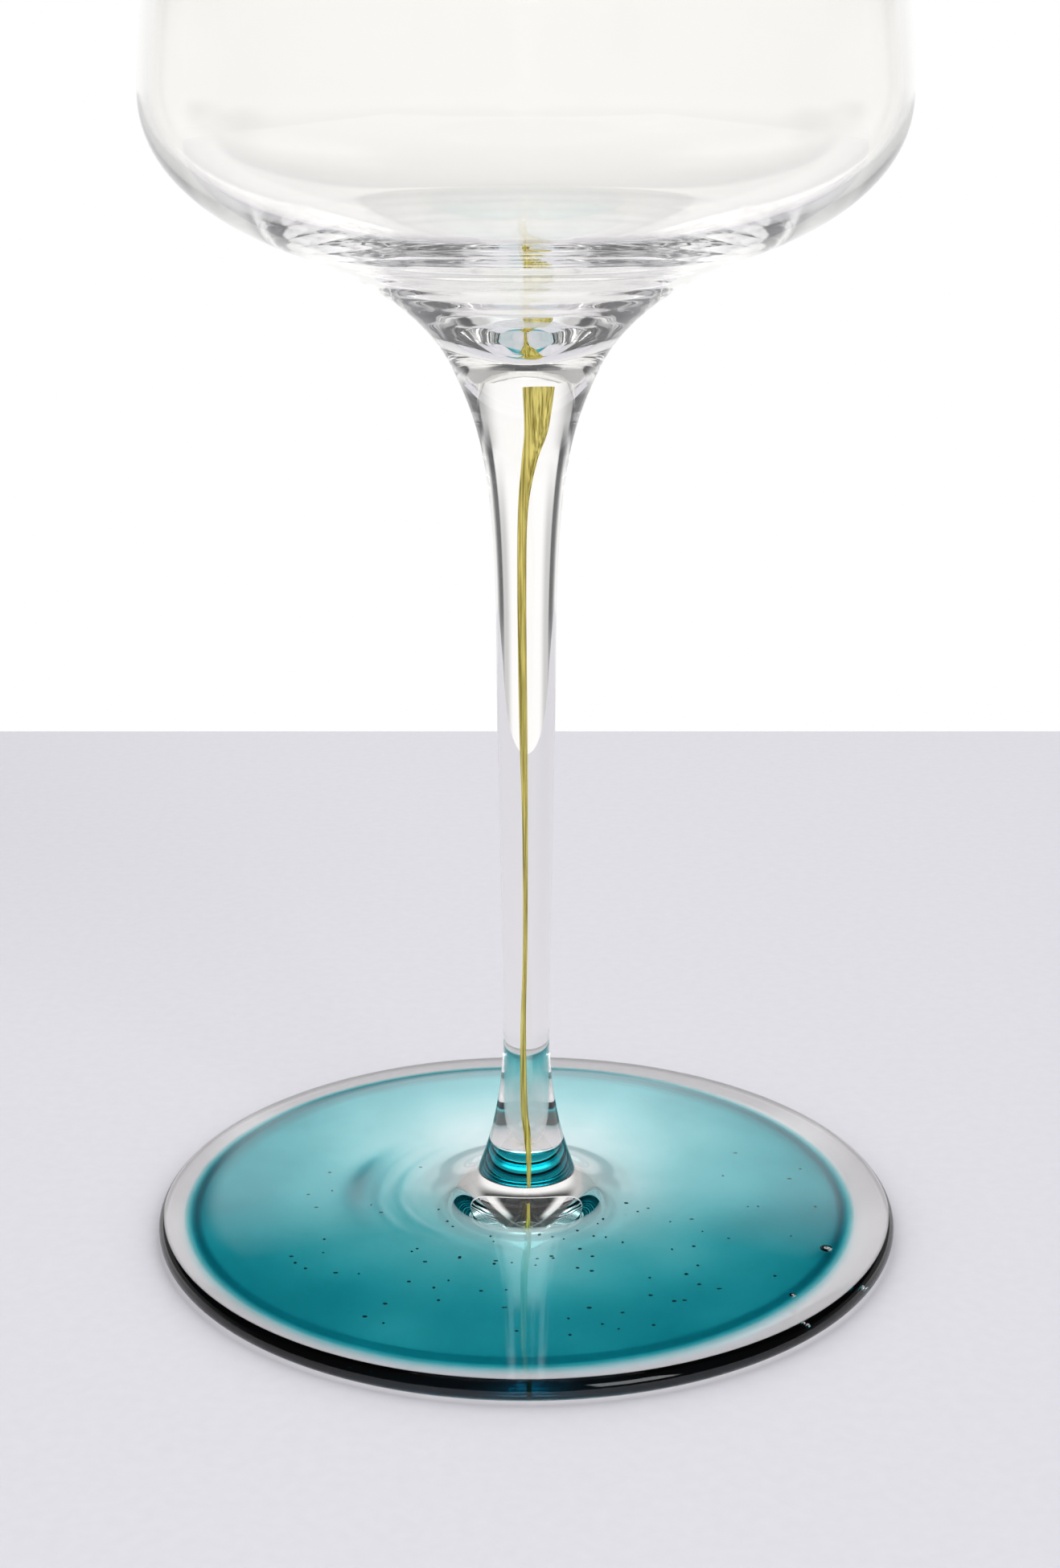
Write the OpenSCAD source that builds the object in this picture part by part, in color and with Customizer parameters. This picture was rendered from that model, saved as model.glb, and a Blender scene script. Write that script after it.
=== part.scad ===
// White wine glass, hand made: a clear blown bowl on a drawn stem and a pressed foot.
// An olive yellow thread of colour runs down inside the stem and into the foot's boss,
// and a turquoise ring of colour lies inside the foot, short of its clear edge.
// Origin: centre of the face that the foot stands on. +Z runs up the glass. Millimetres.

/* [Foot] */
// Diameter over the foot's edge
foot_d = 82; // [80:1:96]
// Thickness of the rounded edge
foot_edge_t = 2.3; // [2.1:0.1:3]
// Width of the flat ring that the foot stands on
foot_ring_w = 5; // [3:0.5:8]
// Height of the shallow hollow under the middle of the foot
foot_hollow = 1; // [0.4:0.1:1.2]
// Slope of the clear rim along the edge, up from level
foot_slope = 5; // [3:0.5:6]
// Diameter of the faint shoulder, where that slope eases off
shoulder_d = 70.6; // [66:0.2:74]
// Width over which it eases off
shoulder_w = 2.8; // [1:0.2:4]
// Diameter round the root of the boss that carries the stem
boss_d = 26; // [22:1:30]
// Height of the foot's top at the boss's root
boss_root_z = 3.3; // [3.2:0.05:3.7]
// Height of the boss, where the stem stands on it
foot_h = 5.9; // [5:0.1:7]

/* [Foot colour] */
// Diameter of the turquoise ring
colour_d = 74.6; // [66:0.2:75]
// Diameter of the clear middle, where the colour thins out to nothing
colour_core_d = 12; // [8:0.5:20]
// Thickness of the colour inside the bead
colour_t = 0.6; // [0.4:0.1:0.8]
// Thickness of the bead along the outer edge
colour_bead_t = 1.3; // [1:0.1:1.4]
// Width of the bead, out to the edge
colour_bead_w = 2; // [1.5:0.1:3]
// Height of the colour's middle plane above the foot's underside
colour_z = 1.2; // [1:0.1:1.3]
// Sideways drift of the ring from the glass's axis
colour_drift = 0.8; // [0:0.1:1]

/* [Stem] */
// Length of the stem between foot and bowl
stem_h = 89.4; // [70:0.2:110]
// Diameter of the stem's flared end on the boss
seat_d = 10.8; // [9:0.2:13]
// Angle of the flare there, up from level
seat_angle = 68; // [55:1:75]
// Diameter at the stem's thinnest place
waist_d = 5.1; // [4.4:0.1:7]
// Height of that place above the boss
waist_h = 16.1; // [12:0.1:22]
// Diameter where the flare below the bowl begins
shank_d = 6.3; // [5.6:0.1:8]
// Length of that flare, down from the bowl
shank_h = 31; // [20:0.5:40]
// Diameter of the joint between stem and bowl
neck_d = 15.6; // [13:0.2:18]
// Angle of the flare at the joint, up from level
neck_angle = 64; // [60:1:72]

/* [Thread] */
// Diameter of the yellow thread along its upper run
thread_d = 0.62; // [0.4:0.02:0.8]
// Sideways sway of the thread's top end
thread_sway = 0.85; // [0:0.05:1.2]
// Depth of the thread's tip in the boss, below the stem
thread_tip = 3; // [1:0.1:3.2]

/* [Bowl] */
// Height of the bowl, from the stem to the rim
bowl_h = 108.7; // [90:0.1:140]
// Angle of its base at the joint, up from level, which leaves a faint crease there
base_angle = 62; // [54:1:66]
// Diameter at which the flare turns into the belly
flare_d = 44.8; // [40:0.2:50]
// Height of that place above the stem
flare_h = 10.7; // [9:0.1:13]
// Slope of the flare there, up from level
flare_angle = 19; // [14:1:24]
// Diameter over the belly
belly_d = 76; // [70:0.5:90]
// Height of the widest place above the stem
belly_h = 26.1; // [24:0.1:34]
// Diameter over the rim
rim_d = 54; // [46:0.5:66]
// Lean of the wall at the rim, in from upright
rim_lean = 8; // [2:1:14]
// Wall at the belly
wall_t = 1.1; // [1:0.1:2]
// Wall at the rim, which is melted round
rim_t = 1.2; // [1:0.1:1.6]
// Glass under the lowest point inside the bowl
floor_t = 1.7; // [1.2:0.1:3]
// Wall at the flare
flare_t = 2; // [1.8:0.1:3]

/* [Hidden] */
$fn = 96;

clear_glass = [0.86, 0.92, 0.94, 0.45];
turquoise = [0, 0.53, 0.57, 0.9];
olive_yellow = [0.74, 0.7, 0.22, 1];

// Steps along each curve and round each edge
steps = 14;
round_steps = 12;

foot_r = foot_d / 2;
nose_r = foot_edge_t / 2;
ring_r = foot_r - nose_r - foot_ring_w;
neck_z = foot_h + stem_h;
rim_z = neck_z + bowl_h;

seat = [seat_d / 2, foot_h];
waist = [waist_d / 2, foot_h + waist_h];
shank = [shank_d / 2, neck_z - shank_h];
neck = [neck_d / 2, neck_z];
flare = [flare_d / 2, neck_z + flare_h];
belly = [belly_d / 2, neck_z + belly_h];
rim_mid = [(rim_d - rim_t) / 2, rim_z - rim_t / 2];

// Steps between two points of the thread
thread_steps = 3;
// Points of the thread, from its tip in the boss to its flared top end under the bowl:
// share of the stem's length, share of thread_sway, share of thread_d
thread_points = [
    [-thread_tip / stem_h, 0.2, 0.4],
    [0.01, 0.2, 0.6],
    [0.049, 0.05, 0.8],
    [0.088, -0.2, 0.8],
    [0.196, -0.25, 0.6],
    [0.294, -0.1, 0.5],
    [0.441, -0.1, 0.6],
    [0.588, -0.25, 0.9],
    [0.735, -0.35, 1],
    [0.833, -0.25, 1.1],
    [0.892, 0.25, 1.7],
    [0.931, 0.8, 2.6],
    [0.987, 1, 3.5]
];

// Point at a length and angle from the start, in the plane of radius and height
function aim(angle, length) = length * [cos(angle), sin(angle)];

// Curve from a to b that leaves along from_angle and arrives along to_angle.
// The pulls are shares of the straight distance.
function curve(a, from_angle, from_pull, b, to_angle, to_pull) =
    let (
        span = norm(b - a),
        c = a + aim(from_angle, from_pull * span),
        d = b - aim(to_angle, to_pull * span)
    )
    [for (i = [0 : steps])
        let (t = i / steps, u = 1 - t)
        u * u * u * a + 3 * u * u * t * c + 3 * u * t * t * d + t * t * t * b];

// Half round about a centre, from one angle on through half a turn
function half_round(centre, radius, from_angle) =
    [for (i = [0 : round_steps]) centre + aim(from_angle + 180 * i / round_steps, radius)];

// A list without its first point, to join it to the one before
function after_first(list) = [for (i = [1 : len(list) - 1]) list[i]];

function reversed(list) = [for (i = [len(list) - 1 : -1 : 0]) list[i]];

// Height of the foot's underside at a radius
function underside(r) = r < ring_r ? foot_hollow * (1 - pow(r / ring_r, 2)) : 0;

// Outside of the bowl from the neck up to the rim
bowl_outside = concat(
    curve(neck, base_angle, 0.28, flare, flare_angle, 0.4),
    after_first(curve(flare, flare_angle, 0.1, belly, 90, 0.47)),
    after_first(curve(belly, 90, 0.09, rim_mid + aim(rim_lean, rim_t / 2), 90 + rim_lean, 0.36))
);

// Inside of the wall at a point of the outside, which has as many steps to each curve
function wall_in(i) =
    let (
        along = bowl_outside[min(i + 1, 3 * steps)] - bowl_outside[i - 1],
        t = lookup(i, [[steps, flare_t], [2 * steps, wall_t], [3 * steps, rim_t]])
    )
    bowl_outside[i] + t / norm(along) * [-along[1], along[0]];

// Inside of the bowl from the axis up to the rim
bowl_inside = concat(
    curve([0, neck_z + floor_t], 0, 0.2, wall_in(steps), flare_angle, 0.43),
    [for (i = [steps + 1 : 3 * steps - 1]) wall_in(i)]
);
bowl_outline = concat(
    [[0, neck_z]],
    bowl_outside,
    after_first(half_round(rim_mid, rim_t / 2, rim_lean)),
    reversed(bowl_inside)
);

// Outline of the stem, from its flared end on the boss up to the neck
stem_outline = concat(
    [[0, foot_h]],
    curve(seat, 180 - seat_angle, 0.3, waist, 90, 0.35),
    after_first(curve(waist, 90, 0.24, shank, 90, 0.2)),
    after_first(curve(shank, 90, 0.65, neck, neck_angle, 0.22)),
    [[0, neck_z]]
);

// Outline of the foot: hollow underside, round edge, sloping rim, flatter top and the boss
edge_top = [foot_r - nose_r, foot_edge_t];
shoulder_r = shoulder_d / 2;
shoulder = [shoulder_r, foot_edge_t + (edge_top[0] - shoulder_r) * tan(foot_slope)];
boss_root = [boss_d / 2, boss_root_z];
top_slope = atan2(boss_root_z - shoulder[1], shoulder_r - boss_root[0]);
rim_in = 180 - foot_slope;
top_in = 180 - top_slope;
shoulder_start = shoulder - aim(rim_in, shoulder_w / 2);
shoulder_end = shoulder + aim(top_in, shoulder_w / 2);
boss_top_angle = 140;
foot_outline = concat(
    [for (i = [0 : steps]) let (r = ring_r * i / steps) [r, underside(r)]],
    half_round(edge_top - [0, nose_r], nose_r, -90),
    curve(shoulder_start, rim_in, 0.33, shoulder_end, top_in, 0.33),
    curve(boss_root, top_in, 0.4, seat, boss_top_angle, 0.35),
    [[0, foot_h]]
);

// Outline of the colour in the foot: it follows the underside,
// thickens from the clear middle to the bead and thins out again to its edge
colour_r = colour_d / 2;
colour_core_r = colour_core_d / 2;
bead_r = colour_r - colour_bead_w;
// Points of the bead: share of its width, in from the edge, and share of its thickness
bead_points = [[0.825, 0.75], [0.65, 1], [0.475, 0.6], [0.3, 0.2]];
function colour_side(side) = concat(
    [for (i = [1 : steps])
        let (s = i / steps, r = colour_core_r + s * (bead_r - colour_core_r))
        [r, colour_z + underside(r) + side * s * colour_t / 2]],
    [for (p = bead_points)
        let (r = colour_r - p[0] * colour_bead_w)
        [r, colour_z + underside(r) + side * p[1] * colour_bead_t / 2]]
);
colour_outline = concat(
    [[colour_core_r, colour_z + underside(colour_core_r)]],
    colour_side(-1),
    [[colour_r, colour_z]],
    reversed(colour_side(1))
);

// A place between points i and i + 1 of the thread, on a smooth curve through all of them
function thread_at(i, t) =
    let (
        last = len(thread_points) - 1,
        p0 = thread_points[max(i - 1, 0)],
        p1 = thread_points[i],
        p2 = thread_points[min(i + 1, last)],
        p3 = thread_points[min(i + 2, last)]
    )
    p1 + t / 2 * (p2 - p0 + t * (2 * p0 - 5 * p1 + 4 * p2 - p3 + t * (3 * (p1 - p2) + p3 - p0)));
thread_line = concat(
    [for (i = [0 : len(thread_points) - 2], j = [0 : thread_steps - 1]) thread_at(i, j / thread_steps)],
    [thread_points[len(thread_points) - 1]]
);

// Ring of corners round the thread at one place on its line
function thread_ring(p) =
    let (
        centre = [p[1] * thread_sway, 0, foot_h + p[0] * stem_h],
        r = p[2] * thread_d / 2
    )
    [for (k = [0 : round_steps - 1])
        let (c = aim(360 * k / round_steps, r))
        centre + [c[0], c[1], 0]];

module thread_solid() {
    rings = [for (p = thread_line) thread_ring(p)];
    corners = [for (ring = rings, c = ring) c];
    n = round_steps;
    sides = [for (i = [0 : len(rings) - 2], k = [0 : n - 1])
        let (a = i * n + k, b = i * n + (k + 1) % n)
        each [[a, a + n, b], [b, a + n, b + n]]];
    tip = [for (k = [0 : n - 1]) k];
    top = [for (k = [n - 1 : -1 : 0]) (len(rings) - 1) * n + k];
    polyhedron(corners, concat(sides, [tip, top]));
}

module colour_solid() {
    translate([-colour_drift, 0, 0])
        rotate_extrude()
            polygon(colour_outline);
}

// Blown bowl, open at the rim, with a thick base
module bowl() {
    color(clear_glass)
        rotate_extrude()
            polygon(bowl_outline);
}

// Drawn stem, flared at both ends, cased round the thread
module stem() {
    color(clear_glass)
        difference() {
            rotate_extrude()
                polygon(stem_outline);
            thread_solid();
        }
}

// Thread of colour inside the stem and the boss
module stem_thread() {
    color(olive_yellow)
        thread_solid();
}

// Pressed foot with a boss for the stem, cased round the ring of colour and the thread's tip
module foot() {
    color(clear_glass)
        difference() {
            rotate_extrude()
                polygon(foot_outline);
            colour_solid();
            thread_solid();
        }
}

// Ring of colour inside the foot
module foot_colour() {
    color(turquoise)
        colour_solid();
}

bowl();
stem();
stem_thread();
foot();
foot_colour();
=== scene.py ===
import math
import random

import bmesh
import bpy
from mathutils import Matrix, Vector, noise


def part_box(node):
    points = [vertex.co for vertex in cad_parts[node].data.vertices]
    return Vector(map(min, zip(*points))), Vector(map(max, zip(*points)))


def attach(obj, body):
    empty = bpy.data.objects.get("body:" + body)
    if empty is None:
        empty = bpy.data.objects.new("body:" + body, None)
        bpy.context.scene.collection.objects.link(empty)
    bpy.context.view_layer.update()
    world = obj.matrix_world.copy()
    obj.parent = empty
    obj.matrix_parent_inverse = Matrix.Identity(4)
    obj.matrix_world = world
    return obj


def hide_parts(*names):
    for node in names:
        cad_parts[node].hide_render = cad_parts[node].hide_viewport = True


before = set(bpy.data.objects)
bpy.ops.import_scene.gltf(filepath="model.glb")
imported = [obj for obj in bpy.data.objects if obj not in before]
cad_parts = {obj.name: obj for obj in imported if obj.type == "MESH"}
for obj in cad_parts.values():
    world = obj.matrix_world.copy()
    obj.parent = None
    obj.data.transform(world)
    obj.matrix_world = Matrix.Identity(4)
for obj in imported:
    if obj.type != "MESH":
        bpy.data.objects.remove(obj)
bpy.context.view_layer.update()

# Foot
# A gather of clear soda glass, pressed flat and spun out hot, with a fire polished round edge.
# It stands on a flat ring round a shallow hollow, and a boss in the middle carries the stem.
# Sizes are in millimetres, and times MM in metres. Angles are in degrees.
MM = 0.001
foot_high = Vector(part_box("foot")[1]) / MM
foot_r = foot_high.x
foot_h = foot_high.z
edge_t = 2.3
ring_w = 5
hollow = 1
edge_slope = 5
shoulder_r = 35.3
shoulder_w = 2.8
boss_root = Vector((13, 3.3))
boss_top_angle = 140
seat = Vector((5.4, foot_h))


def aim(angle, length):
    """A step of that length at an angle up from level, in the plane of radius and height."""
    return length * Vector((math.cos(math.radians(angle)), math.sin(math.radians(angle))))


def curve(a, from_angle, from_pull, b, to_angle, to_pull, steps=24):
    """A smooth line from a to b. The pulls are shares of the straight distance between them."""
    span = (b - a).length
    c = a + aim(from_angle, from_pull * span)
    d = b - aim(to_angle, to_pull * span)
    line = []
    for i in range(steps + 1):
        t = i / steps
        u = 1 - t
        line.append(u**3 * a + 3 * u * u * t * c + 3 * u * t * t * d + t**3 * b)
    return line


def half_round(centre, radius, from_angle, steps=16):
    """Half a circle about a centre, from that angle on."""
    return [centre + aim(from_angle + 180 * i / steps, radius) for i in range(steps + 1)]


def finished(name, bm, sharp=40):
    """The mesh as an object, smooth apart from edges that turn by more than the angle."""
    for face in bm.faces:
        face.smooth = True
    for edge in bm.edges:
        edge.smooth = len(edge.link_faces) < 2 or edge.calc_face_angle() < math.radians(sharp)
    mesh = bpy.data.meshes.new(name)
    bm.to_mesh(mesh)
    bm.free()
    piece = bpy.data.objects.new(name, mesh)
    bpy.context.collection.objects.link(piece)
    return piece


def turned(name, outline, steps=192):
    """A closed piece turned about the glass's axis from an outline of radius and height in mm."""
    bm = bmesh.new()
    points = [bm.verts.new((p.x * MM, 0, p.y * MM)) for p in outline]
    lines = [bm.edges.new(pair) for pair in zip(points, points[1:])]
    bmesh.ops.spin(
        bm,
        geom=points + lines,
        axis=(0, 0, 1),
        cent=(0, 0, 0),
        angle=math.tau,
        steps=steps,
        use_merge=True,
    )
    bmesh.ops.remove_doubles(bm, verts=bm.verts, dist=0.001 * MM)
    bmesh.ops.recalc_face_normals(bm, faces=bm.faces)
    return finished(name, bm)


def linear(colour):
    """An sRGB hex colour as linear RGBA."""
    channels = [int(colour[i : i + 2], 16) / 255 for i in (1, 3, 5)]
    return [c / 12.92 if c <= 0.04045 else ((c + 0.055) / 1.055) ** 2.4 for c in channels] + [1]


def add(tree, kind, inputs, **settings):
    """Adds a node with its settings, and sets or links its inputs."""
    node = tree.nodes.new(kind)
    for key, value in settings.items():
        setattr(node, key, value)
    for key, value in inputs.items():
        if isinstance(value, bpy.types.NodeSocket):
            tree.links.new(value, node.inputs[key])
        else:
            node.inputs[key].default_value = value
    return node


def material(name):
    """A new material with an empty tree."""
    made = bpy.data.materials.new(name)
    made.use_nodes = True
    made.node_tree.nodes.clear()
    return made


# Clear soda glass, worked hot. It shows only by what it bends and mirrors,
# and slow waves from the blowing and the tools make that swim a little.
clear_glass = material("clear_glass")
tree = clear_glass.node_tree
wave_w = 14 * MM
wave_h = 0.012 * MM
place = add(tree, "ShaderNodeTexCoord", {}).outputs["Object"]
waves = add(tree, "ShaderNodeTexNoise", {"Vector": place, "Scale": 1 / wave_w, "Detail": 1.0})
bump = add(tree, "ShaderNodeBump", {"Height": waves.outputs["Fac"], "Strength": 1.0, "Distance": wave_h})
shader = add(
    tree,
    "ShaderNodeBsdfPrincipled",
    {
        "Base Color": linear("#FEFDFB"),
        "Roughness": 0.0,
        "IOR": 1.52,
        "Transmission Weight": 1.0,
        "Normal": bump.outputs["Normal"],
    },
)
add(tree, "ShaderNodeOutputMaterial", {"Surface": shader.outputs["BSDF"]})

# Where two gathers are fused there is no surface to see: light goes straight on.
fused_glass = material("fused_glass")
tree = fused_glass.node_tree
shader = add(
    tree,
    "ShaderNodeBsdfPrincipled",
    {"Base Color": linear("#FFFFFF"), "Roughness": 0.0, "IOR": 1.52, "Transmission Weight": 1.0, "Alpha": 0.0},
)
add(tree, "ShaderNodeOutputMaterial", {"Surface": shader.outputs["BSDF"]})


def glaze(piece, *joints):
    """Clear glass all over, with fused glass on the level faces at the heights of the joints."""
    piece.data.materials.append(clear_glass)
    piece.data.materials.append(fused_glass)
    for face in piece.data.polygons:
        level = abs(face.normal.z) > 0.999
        face.material_index = int(level and any(abs(face.center.z / MM - z) < 0.01 for z in joints))


edge_r = edge_t / 2
edge_top = Vector((foot_r - edge_r, edge_t))
shoulder = edge_top - aim(-edge_slope, (edge_top.x - shoulder_r) / math.cos(math.radians(edge_slope)))
top_slope = math.degrees(math.atan2(boss_root.y - shoulder.y, shoulder.x - boss_root.x))
shoulder_out = shoulder + aim(-edge_slope, shoulder_w / 2)
shoulder_in = shoulder - aim(-top_slope, shoulder_w / 2)
ring_r = foot_r - edge_r - ring_w


def underside(r):
    """Height of the foot's underside at a radius."""
    return hollow * (1 - (r / ring_r) ** 2) if r < ring_r else 0


hollow_steps = 48
hollow_rs = [ring_r * i / hollow_steps for i in range(hollow_steps + 1)]
foot = turned(
    "foot_glass",
    [Vector((r, underside(r))) for r in hollow_rs]
    + half_round(edge_top - Vector((0, edge_r)), edge_r, -90)
    + curve(edge_top, 180 - edge_slope, 0.33, shoulder_out, 180 - edge_slope, 0.33)[1:]
    + curve(shoulder_out, 180 - edge_slope, 0.33, shoulder_in, 180 - top_slope, 0.33)[1:]
    + curve(shoulder_in, 180 - top_slope, 0.33, boss_root, 180 - top_slope, 0.33, steps=80)[1:]
    + curve(boss_root, 180 - top_slope, 0.4, seat, boss_top_angle, 0.35, steps=48)[1:]
    + [Vector((0, foot_h))],
)

# Folds from the laying on of the colour, most of them left of the boss, which leave faint dents in the top:
# radius, bearing, width, reach along the arc, extra height of the colour there.
folds = [
    (18.4, 172, 1.3, 20, 0.7),
    (16.2, 180, 0.5, 28, 0.3),
    (13.8, 186, 0.5, 38, 0.25),
    (26, 243, 5, 30, 0.08),
]
# Depth of a dent, as a share of that height.
dent = 0.12


def folded(place):
    """Height of the folds at a place."""
    r = place.xy.length / MM
    turn = math.degrees(math.atan2(place.y, place.x)) % 360
    return sum(
        height * math.exp(-(((r - at) / width) ** 2) - ((turn - to) / reach) ** 2)
        for at, to, width, reach, height in folds
    )


for vert in foot.data.vertices:
    if vert.co.z > edge_t * MM:
        vert.co.z -= dent * folded(vert.co) * MM
glaze(foot, foot_h)
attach(foot, "root")
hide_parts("foot")

# Colour in the foot
# A ring of turquoise glass, cased in the clear foot while hot. It is thin round the middle,
# thickens outwards and ends in a bead short of the edge.
colour_low, colour_high = (Vector(corner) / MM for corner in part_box("foot_colour"))
colour_r = (colour_high.x - colour_low.x) / 2
colour_drift = (colour_high.x + colour_low.x) / 2
core_r = 6
colour_t = 0.6
bead_t = 1.3
bead_w = 2
colour_z = 1.2
bead_r = colour_r - bead_w
# Points over the crest of the bead: share of its width in from the edge, share of its thickness.
bead_points = [(0.825, 0.75), (0.65, 1), (0.475, 0.6), (0.3, 0.2)]


def colour_side(side, rows=80):
    """One face of the ring, from its inner edge out over the crest of the bead."""
    line = []
    for i in range(1, rows + 1):
        r = core_r + i / rows * (bead_r - core_r)
        line.append(Vector((r, colour_z + underside(r) + side * i / rows * colour_t / 2)))
    for share_in, share in bead_points:
        r = colour_r - share_in * bead_w
        line.append(Vector((r, colour_z + underside(r) + side * share * bead_t / 2)))
    return line


inner_edge = Vector((core_r, colour_z + underside(core_r)))
outer_edge = Vector((colour_r, colour_z))
foot_colour = turned(
    "foot_turquoise",
    [inner_edge] + colour_side(-1) + [outer_edge] + colour_side(1)[::-1] + [inner_edge],
)

# The colour was laid on by hand, so it is thinner behind the stem, and its upper face is uneven.
# Both are given as shares of its thickness.
thin = 0.9
thin_r = 40
uneven = 0.6
uneven_w = 9 * MM
for vert in foot_colour.data.vertices:
    r = vert.co.xy.length / MM
    middle = colour_z + underside(r)
    height = vert.co.z / MM - middle
    if r < bead_r:
        behind = (1 + vert.co.y / MM / r) / 2
        height *= 1 - thin * behind**2 * math.exp(-((r / thin_r) ** 4))
        if height > 0:
            height *= 1 + uneven * noise.noise(vert.co / uneven_w)
            height += folded(vert.co)
    vert.co.z = (middle + height) * MM
foot_colour.data.transform(Matrix.Translation((colour_drift * MM, 0, 0)))

# Turquoise soda glass. Inside clear glass of its own kind it has no surface of its own:
# it stains the light, more the further that goes through it, and is a little cloudy.
turquoise_glass = material("turquoise_glass")
tree = turquoise_glass.node_tree
cloud_w = 7 * MM
place = add(tree, "ShaderNodeTexCoord", {}).outputs["Object"]
clouds = add(tree, "ShaderNodeTexNoise", {"Vector": place, "Scale": 1 / cloud_w, "Detail": 3.0})
tone = add(tree, "ShaderNodeValToRGB", {"Fac": clouds.outputs["Fac"]})
dark, pale = tone.color_ramp.elements
dark.position, dark.color = 0.35, linear("#EEF9F9")
pale.position, pale.color = 0.65, linear("#FFFFFF")
shader = add(
    tree,
    "ShaderNodeBsdfPrincipled",
    {"Base Color": tone.outputs["Color"], "Roughness": 0.0, "IOR": 1.0, "Transmission Weight": 1.0},
)
# White light is this colour once it has gone through the ring's full thickness.
stained = linear("#5ECED5")[:3]
loss = [-math.log(channel) / (colour_t * MM) for channel in stained]
stain = add(
    tree,
    "ShaderNodeVolumeAbsorption",
    {"Color": [1 - channel / max(loss) for channel in loss] + [1], "Density": max(loss)},
)
add(
    tree,
    "ShaderNodeOutputMaterial",
    {"Surface": shader.outputs["BSDF"], "Volume": stain.outputs["Volume"]},
)
foot_colour.data.materials.append(turquoise_glass)
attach(foot_colour, "root")
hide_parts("foot_colour")

# Specks
# Grit and scale from the furnace, caught in the clear glass over the colour while it was soft,
# more of it towards the front.
random.seed(5)
speck_count = 90
speck_r = 0.19
# Least, greatest and commonest bearing, and the ranges of radius and of height over the ring's middle.
speck_turns = (150, 390, 265)
speck_places = (11, 33)
speck_heights = (0.55, 0.8)
bm = bmesh.new()
for i in range(speck_count):
    turn = math.radians(random.triangular(*speck_turns))
    r = random.uniform(*speck_places)
    z = colour_z + underside(r) + random.uniform(*speck_heights)
    at = Matrix.Translation(Vector((r * math.cos(turn), r * math.sin(turn), z)) * MM)
    size = Matrix.Diagonal((random.uniform(0.6, 1.7), random.uniform(0.6, 1.3), 0.7, 1))
    bmesh.ops.create_icosphere(bm, subdivisions=1, radius=speck_r * MM, matrix=at @ size)
specks = finished("foot_specks", bm)

# Furnace scale: matt, nearly black crumbs with a teal cast, mottled as coarsely as their size lets show.
furnace_scale = material("furnace_scale")
tree = furnace_scale.node_tree
crumb_w = 0.1 * MM
place = add(tree, "ShaderNodeTexCoord", {}).outputs["Object"]
grain = add(tree, "ShaderNodeTexNoise", {"Vector": place, "Scale": 1 / crumb_w, "Detail": 1.0})
tone = add(tree, "ShaderNodeValToRGB", {"Fac": grain.outputs["Fac"]})
dark, pale = tone.color_ramp.elements
dark.color = linear("#0A1F24")
pale.color = linear("#1F4A50")
shader = add(tree, "ShaderNodeBsdfPrincipled", {"Base Color": tone.outputs["Color"], "Roughness": 0.7})
add(tree, "ShaderNodeOutputMaterial", {"Surface": shader.outputs["BSDF"]})
specks.data.materials.append(furnace_scale)
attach(specks, "root")

# Bubbles
# Air that was trapped in the foot near the edge of the colour.
# Each is given by its place and its diameter.
bubble_places = [(32.2, -13, 1.75, 1.4), (27.5, -23.4, 2.1, 0.7)]
bm = bmesh.new()
for x, y, z, d in bubble_places:
    at = Matrix.Translation(Vector((x, y, z)) * MM)
    bmesh.ops.create_icosphere(bm, subdivisions=3, radius=d / 2 * MM, matrix=at)
bubbles = finished("foot_bubbles", bm)

# The wall of an air bubble throws light back, so it looks like a bead of mercury, a little out of round.
air_bubble = material("air_bubble")
tree = air_bubble.node_tree
film_w = 0.4 * MM
film_h = 0.005 * MM
place = add(tree, "ShaderNodeTexCoord", {}).outputs["Object"]
film = add(tree, "ShaderNodeTexNoise", {"Vector": place, "Scale": 1 / film_w})
bump = add(tree, "ShaderNodeBump", {"Height": film.outputs["Fac"], "Strength": 1.0, "Distance": film_h})
shader = add(
    tree,
    "ShaderNodeBsdfPrincipled",
    {"Base Color": linear("#E8EEEE"), "Metallic": 1.0, "Roughness": 0.05, "Normal": bump.outputs["Normal"]},
)
add(tree, "ShaderNodeOutputMaterial", {"Surface": shader.outputs["BSDF"]})
bubbles.data.materials.append(air_bubble)
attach(bubbles, "root")

# Stem
# A rod of clear glass drawn out hot under the bowl, thinnest near the foot,
# with a flare at each end where it is fused to the boss and to the bowl.
stem_low, stem_high = (Vector(corner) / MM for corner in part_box("stem"))
neck_z = stem_high.z
stem_h = stem_high.z - stem_low.z
neck = Vector((stem_high.x, neck_z))
neck_angle = 64
seat_angle = 68
waist = Vector((2.55, foot_h + 16.1))
shank = Vector((3.15, neck_z - 31))
stem = turned(
    "stem_glass",
    [Vector((0, foot_h))]
    + curve(seat, 180 - seat_angle, 0.3, waist, 90, 0.35)
    + curve(waist, 90, 0.24, shank, 90, 0.2)[1:]
    + curve(shank, 90, 0.65, neck, neck_angle, 0.22)[1:]
    + [Vector((0, neck_z))],
    steps=128,
)
glaze(stem, foot_h, neck_z)
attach(stem, "root")
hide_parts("stem")

# Thread of colour
# A bit of olive yellow glass, caught in the stem as it was drawn, so that it pulled out into a thread.
# It flares where it starts under the bowl, and its tip ends inside the foot's boss.
thread_d = 0.62
thread_sway = 0.85
thread_tip = 3
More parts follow.
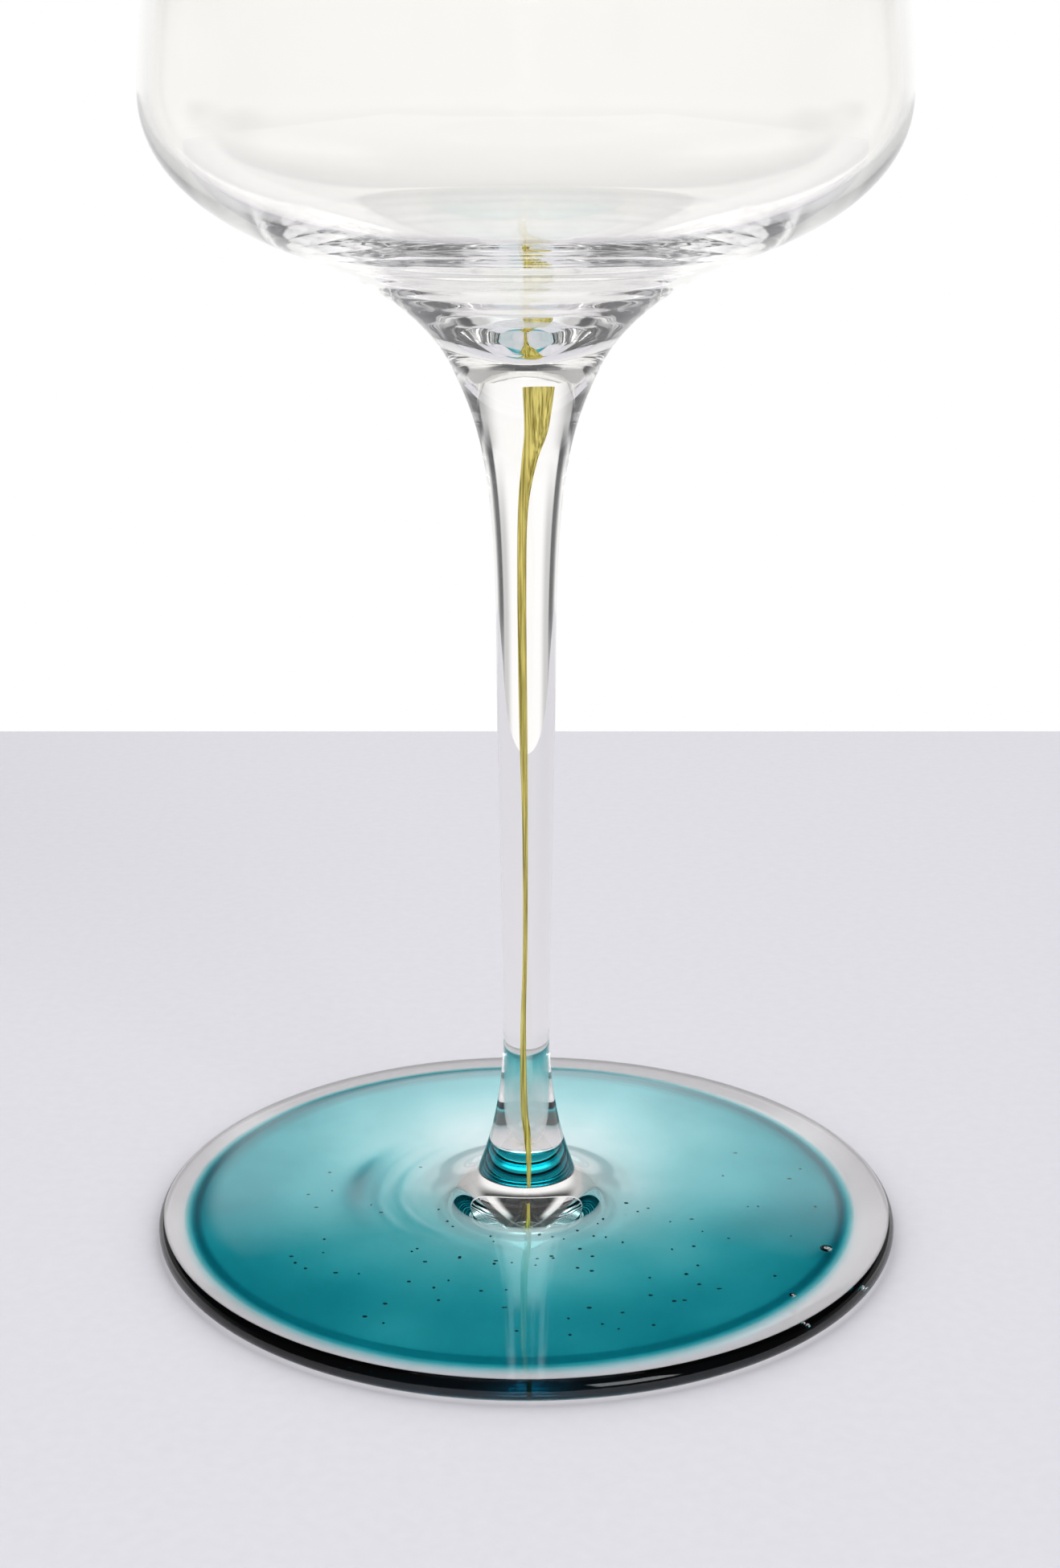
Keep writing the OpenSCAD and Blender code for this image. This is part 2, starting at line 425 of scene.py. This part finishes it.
# Points from the tip up: share of the stem's length, share of the sway, share of the diameter.
thread_points = [
    (-thread_tip / stem_h, 0.2, 0.4),
    (0.01, 0.2, 0.6),
    (0.049, 0.05, 0.8),
    (0.088, -0.2, 0.8),
    (0.196, -0.25, 0.6),
    (0.294, -0.1, 0.5),
    (0.441, -0.1, 0.6),
    (0.588, -0.25, 0.9),
    (0.735, -0.35, 1),
    (0.833, -0.25, 1.1),
    (0.892, 0.25, 1.7),
    (0.931, 0.8, 2.6),
    (0.987, 1, 3.5),
]
thread_steps = 8


def thread_at(i, t):
    """A place between points i and i + 1 of the thread, on a smooth curve through all of them."""
    last = len(thread_points) - 1
    p0, p1, p2, p3 = (Vector(thread_points[min(max(k, 0), last)]) for k in (i - 1, i, i + 1, i + 2))
    return p1 + t / 2 * (p2 - p0 + t * (2 * p0 - 5 * p1 + 4 * p2 - p3 + t * (3 * (p1 - p2) + p3 - p0)))


thread_line = [
    thread_at(i, j / thread_steps) for i in range(len(thread_points) - 1) for j in range(thread_steps)
]
thread_line.append(Vector(thread_points[-1]))
bm = bmesh.new()
ring = bmesh.ops.create_circle(bm, segments=24, radius=thread_d / 2 * MM, cap_ends=True)["verts"]
end = bm.faces[:]
centre = Vector((0, 0, 0))
width = 1
for i, point in enumerate(thread_line):
    if i:
        grown = bmesh.ops.extrude_face_region(bm, geom=end)["geom"]
        if i > 1:
            bmesh.ops.delete(bm, geom=end, context="FACES_ONLY")
        ring = [part for part in grown if isinstance(part, bmesh.types.BMVert)]
        end = [part for part in grown if isinstance(part, bmesh.types.BMFace)]
    to = Vector((point.y * thread_sway, 0, foot_h + point.x * stem_h)) * MM
    bmesh.ops.translate(bm, verts=ring, vec=to - centre)
    bmesh.ops.scale(bm, verts=ring, vec=[point.z / width] * 3, space=Matrix.Translation(-to))
    centre, width = to, point.z
bmesh.ops.recalc_face_normals(bm, faces=bm.faces)
thread = finished("stem_thread_yellow", bm)

# Olive yellow glass, drawn out: nearly opaque, with long dark and pale streaks along the pull. Cased in clear
# glass it mirrors nothing itself, so the pale streaks are partly painted highlights that stand in for its
# gloss.
# Streaks are drawn coarser than real ones so that they show.
olive_yellow_glass = material("olive_yellow_glass")
tree = olive_yellow_glass.node_tree
streak_w = 0.18 * MM
streak_l = 9 * MM
place = add(tree, "ShaderNodeTexCoord", {}).outputs["Object"]
drawn = add(
    tree, "ShaderNodeMapping", {"Vector": place, "Scale": (1 / streak_w, 1 / streak_w, 1 / streak_l)}
).outputs["Vector"]
streaks_and_highlights = add(tree, "ShaderNodeTexNoise", {"Vector": drawn, "Scale": 1.0, "Detail": 2.0})
tone = add(tree, "ShaderNodeValToRGB", {"Fac": streaks_and_highlights.outputs["Fac"]})
dark, pale = tone.color_ramp.elements
# Dark olive streaks, and pale ones that are brighter than the glass itself: partly painted highlight.
dark.position, dark.color = 0.36, linear("#8A7C14")
pale.position, pale.color = 0.66, linear("#FFF08A")
shader = add(
    tree,
    "ShaderNodeBsdfPrincipled",
    {"Base Color": tone.outputs["Color"], "Roughness": 0.2, "IOR": 1.0, "Transmission Weight": 0.3},
)
add(tree, "ShaderNodeOutputMaterial", {"Surface": shader.outputs["BSDF"]})
thread.data.materials.append(olive_yellow_glass)
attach(thread, "root")
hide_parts("stem_thread")

# Bowl
# Blown from clear glass into a tulip, with a thick base and a rim that was cut and melted round.
# Its base is fused to the top of the stem.
bowl_high = Vector(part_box("bowl")[1]) / MM
rim_z = bowl_high.z
base_angle = 62
belly = Vector((bowl_high.x, neck_z + 26.1))
flare = Vector((22.4, neck_z + 10.7))
flare_angle = 19
flare_t = 2
wall_t = 1.1
floor = Vector((0, neck_z + 1.7))
rim_r = 27
rim_t = 1.2
rim_lean = 8
rim_mid = Vector((rim_r - rim_t / 2, rim_z - rim_t / 2))
steps = 32
sides = (
    curve(flare, flare_angle, 0.1, belly, 90, 0.47, steps)
    + curve(belly, 90, 0.09, rim_mid + aim(rim_lean, rim_t / 2), 90 + rim_lean, 0.36, steps)[1:]
)
wall = []
for i in range(2 * steps):
    along = (sides[i + 1] - sides[max(i - 1, 0)]).normalized()
    share = i / steps
    t = flare_t + share * (wall_t - flare_t) if share < 1 else wall_t + (share - 1) * (rim_t - wall_t)
    wall.append(sides[i] + t * Vector((-along.y, along.x)))
inside = curve(floor, 0, 0.2, wall[0], flare_angle, 0.43, steps) + wall[1:]

# Faint rings round the outside of the base, where the jacks pressed it while it turned.
base_steps = 4 * steps
marks = 8
mark_h = 0.025
base = curve(neck, base_angle, 0.28, flare, flare_angle, 0.4, base_steps)
for i, p in enumerate(base):
    share = i / base_steps
    p.y -= mark_h * math.sin(math.pi * share) * math.sin(math.tau * marks * share)
bowl = turned(
    "bowl_glass",
    [Vector((0, neck_z))]
    + base
    + sides[1:]
    + half_round(rim_mid, rim_t / 2, rim_lean)[1:]
    + inside[::-1],
)
glaze(bowl, neck_z)
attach(bowl, "root")
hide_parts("bowl")

# Table
# A plain table top in pale lacquer, with white behind it.
# It lies a hair below the foot, so that no two faces touch.
table_back = 210 * MM
table_front = 450 * MM
table_w = 690 * MM
table_gap = 0.02 * MM
bm = bmesh.new()
bmesh.ops.create_grid(bm, x_segments=1, y_segments=1, size=0.5)
bmesh.ops.scale(bm, verts=bm.verts, vec=(table_w, table_back + table_front, 1))
bmesh.ops.translate(bm, verts=bm.verts, vec=(0, (table_back - table_front) / 2, -table_gap))
table = finished("table_top", bm)

# Pale lacquer, sprayed and rubbed matt: an even cool grey.
# The grain of such a finish is too fine to show, so it is drawn coarser.
pale_lacquer = material("pale_lacquer")
tree = pale_lacquer.node_tree
grain_w = 1.5 * MM
place = add(tree, "ShaderNodeTexCoord", {}).outputs["Object"]
grain = add(tree, "ShaderNodeTexNoise", {"Vector": place, "Scale": 1 / grain_w, "Detail": 3.0})
tone = add(tree, "ShaderNodeValToRGB", {"Fac": grain.outputs["Fac"]})
dark, pale = tone.color_ramp.elements
dark.position, dark.color = 0.3, linear("#DCDBE2")
pale.position, pale.color = 0.7, linear("#DFDEE5")
shader = add(tree, "ShaderNodeBsdfPrincipled", {"Base Color": tone.outputs["Color"], "Roughness": 0.6})
add(tree, "ShaderNodeOutputMaterial", {"Surface": shader.outputs["BSDF"]})
table.data.materials.append(pale_lacquer)

# Light
# A white studio with even light from all sides. Glass is lit as it is for a picture of glass: dark strips
# stand at the sides and above, out of the camera's sight, and give the clear pieces their outlines,
# and a bright wall behind and a softbox at the front right mirror on them.
world = bpy.data.worlds.new("studio")
bpy.context.scene.world = world
world.use_nodes = True
tree = world.node_tree
tree.nodes.clear()
way = add(tree, "ShaderNodeTexCoord", {}).outputs["Generated"]
part = add(tree, "ShaderNodeSeparateXYZ", {"Vector": way}).outputs
bearing = add(tree, "ShaderNodeMath", {0: part["X"], 1: part["Y"]}, operation="ARCTAN2").outputs[0]
bearing = add(tree, "ShaderNodeMath", {0: bearing}, operation="ABSOLUTE").outputs[0]
bearing = add(tree, "ShaderNodeMath", {0: bearing}, operation="DEGREES").outputs[0]
rise = add(tree, "ShaderNodeMath", {0: part["Z"]}, operation="ARCSINE").outputs[0]
rise = add(tree, "ShaderNodeMath", {0: rise}, operation="DEGREES").outputs[0]

# Each edge of a bright or dark place in the room, in degrees to both sides of straight behind the glass
# or above the table: what it is measured in, where it starts and where it is full.
# The last one is the right half of the room.
edges = {
    "side": (bearing, 18, 30),
    "low": (rise, 8, -7),
    "not_deep": (rise, -23, -17),
    "flank": (bearing, 20, 42),
    "flank_low": (rise, 5, 11),
    "flank_high": (rise, 42, 32),
    "far_side": (bearing, 52, 66),
    "high": (rise, 24, 36),
    "strip_near": (bearing, 35, 39),
    "strip_far": (bearing, 60, 45),
    "strip_low": (rise, -16, -10),
    "strip_high": (rise, 20, 8),
    "upper_near": (bearing, 46, 52),
    "upper_far": (bearing, 80, 66),
    "upper_low": (rise, 14, 22),
    "upper_high": (rise, 38, 30),
    "ceiling": (rise, 56, 66),
    "ceiling_side": (bearing, 90, 45),
    "level": (rise, 10, 4),
    "above": (rise, 6, 12),
    "over": (rise, 23, 29),
    "middle": (bearing, 40, 25),
    "behind": (bearing, 16, 10),
    "aside": (bearing, 60, 80),
    "far_aside": (bearing, 85, 100),
    "front": (bearing, 60, 100),
    "wall_side": (bearing, 13.5, 9.5),
    "wall_middle": (bearing, 8, 1.5),
    "wall_low": (rise, 15, 19),
    "softbox_near": (bearing, 134, 137),
    "softbox_far": (bearing, 161, 158),
    "softbox_low": (rise, 16, 19),
    "softbox_high": (rise, 48, 45),
    "right": (part["X"], -0.001, 0.001),
}
inside_of = {}
for name, (measure, start, full) in edges.items():
    inside_of[name] = add(
        tree,
        "ShaderNodeMapRange",
        {"Value": measure, "From Min": float(start), "From Max": float(full)},
        interpolation_type="SMOOTHSTEP",
    ).outputs["Result"]

# Light that was mirrored once, or more often, on its way through the glass
# makes up the bright and dark lines in its thick places.
path = add(tree, "ShaderNodeLightPath", {}).outputs
mirrorings = path["Glossy Depth"]
inside_of["once"] = add(tree, "ShaderNodeMath", {0: mirrorings, 1: 1.0, 2: 0.5}, operation="COMPARE").outputs[0]
inside_of["often"] = add(tree, "ShaderNodeMath", {0: mirrorings, 1: 1.5}, operation="GREATER_THAN").outputs[0]


def relit(level, places):
    """A level of light, changed to each place's own level inside all the edges of that place."""
    for place_level, *names in places:
        share = 1.0
        for name in names:
            share = add(tree, "ShaderNodeMath", {0: share, 1: inside_of[name]}, operation="MULTIPLY").outputs[0]
        level = add(
            tree, "ShaderNodeMix", {"Factor": share, "A": level, "B": place_level}, data_type="FLOAT"
        ).outputs["Result"]
    return level


# What shows through the glass: about white, which is 1, and brighter or darker in these places.
through = relit(
    1.03,
    [
        (0.6, "side", "low", "not_deep"),
        (0.55, "flank", "flank_low", "flank_high"),
        (0.93, "far_side"),
        (0.5, "far_side", "high"),
        (0.07, "strip_near", "strip_far", "strip_low", "strip_high"),
        (0.07, "upper_near", "upper_far", "upper_low", "upper_high"),
        (0.05, "ceiling", "ceiling_side"),
        (0.85, "once", "level"),
        (0.05, "once", "over", "middle"),
        (4.0, "often", "behind", "above"),
        (0.4, "often", "aside"),
        (0.1, "often", "far_aside"),
    ],
)

# What mirrors on it, in the same way. The wall fades out towards its top, and is brighter in the middle.
mirrored = relit(
    1.0,
    [
        (0.25, "above"),
        (0.02, "over"),
        (0.05, "front"),
        (3.5, "softbox_near", "softbox_far", "softbox_low", "softbox_high", "right"),
    ],
)
back_wall = 0.0
for fade, top, level, side in ((25.4, 28.5, 1.2, "wall_side"), (22.5, 26.0, 0.8, "wall_middle")):
    lit = add(
        tree,
        "ShaderNodeMapRange",
        {"Value": rise, "From Min": fade, "From Max": top, "To Min": level, "To Max": 0.0},
    ).outputs["Result"]
    for name in (side, "wall_low"):
        lit = add(tree, "ShaderNodeMath", {0: lit, 1: inside_of[name]}, operation="MULTIPLY").outputs[0]
    back_wall = add(tree, "ShaderNodeMath", {0: back_wall, 1: lit}).outputs[0]
mirrored = add(tree, "ShaderNodeMath", {0: mirrored, 1: back_wall}, operation="MAXIMUM").outputs[0]

# The table gets an even light, and a little more of it through the glass. The camera sees plain white.
fill = 1.04
fill_under = 1.1
inside_of["glass"] = path["Is Transmission Ray"]
inside_of["matt"] = add(
    tree, "ShaderNodeMath", {0: path["Diffuse Depth"], 1: 0.5}, operation="GREATER_THAN"
).outputs[0]
inside_of["camera"] = path["Is Camera Ray"]
table_light = relit(fill, [(fill_under, "glass")])
light_level = relit(mirrored, [(through, "glass"), (table_light, "matt"), (1.0, "camera")])
light = add(tree, "ShaderNodeBackground", {"Color": linear("#FFFFFF"), "Strength": light_level})
add(tree, "ShaderNodeOutputWorld", {"Surface": light.outputs["Background"]})

# Camera
# It stands close in front of the glass, a little above the bowl's base, and looks down at the foot.
# The rim lies above the picture's edge.
image_h = 1950
focal_px = 2993
sensor_w = 36
camera_at = Vector((0.4, -247.2, 122.8)) * MM
pitch = math.radians(16.29)
lens = bpy.data.cameras.new("camera")
lens.sensor_width = sensor_w
lens.lens = focal_px / image_h * sensor_w
lens.clip_start = 10 * MM
camera = bpy.data.objects.new("camera", lens)
camera.location = camera_at
camera.rotation_euler = (math.pi / 2 - pitch, 0, 0)
bpy.context.collection.objects.link(camera)
scene = bpy.context.scene
scene.camera = camera
scene.view_settings.view_transform = "Standard"

# Light in thick glass is mirrored many times before it comes out, and none of it is blurred or dropped.
bounces = 64
scene.cycles.blur_glossy = 0
scene.cycles.max_bounces = bounces
scene.cycles.transmission_bounces = bounces
scene.cycles.glossy_bounces = bounces
scene.cycles.transparent_max_bounces = bounces
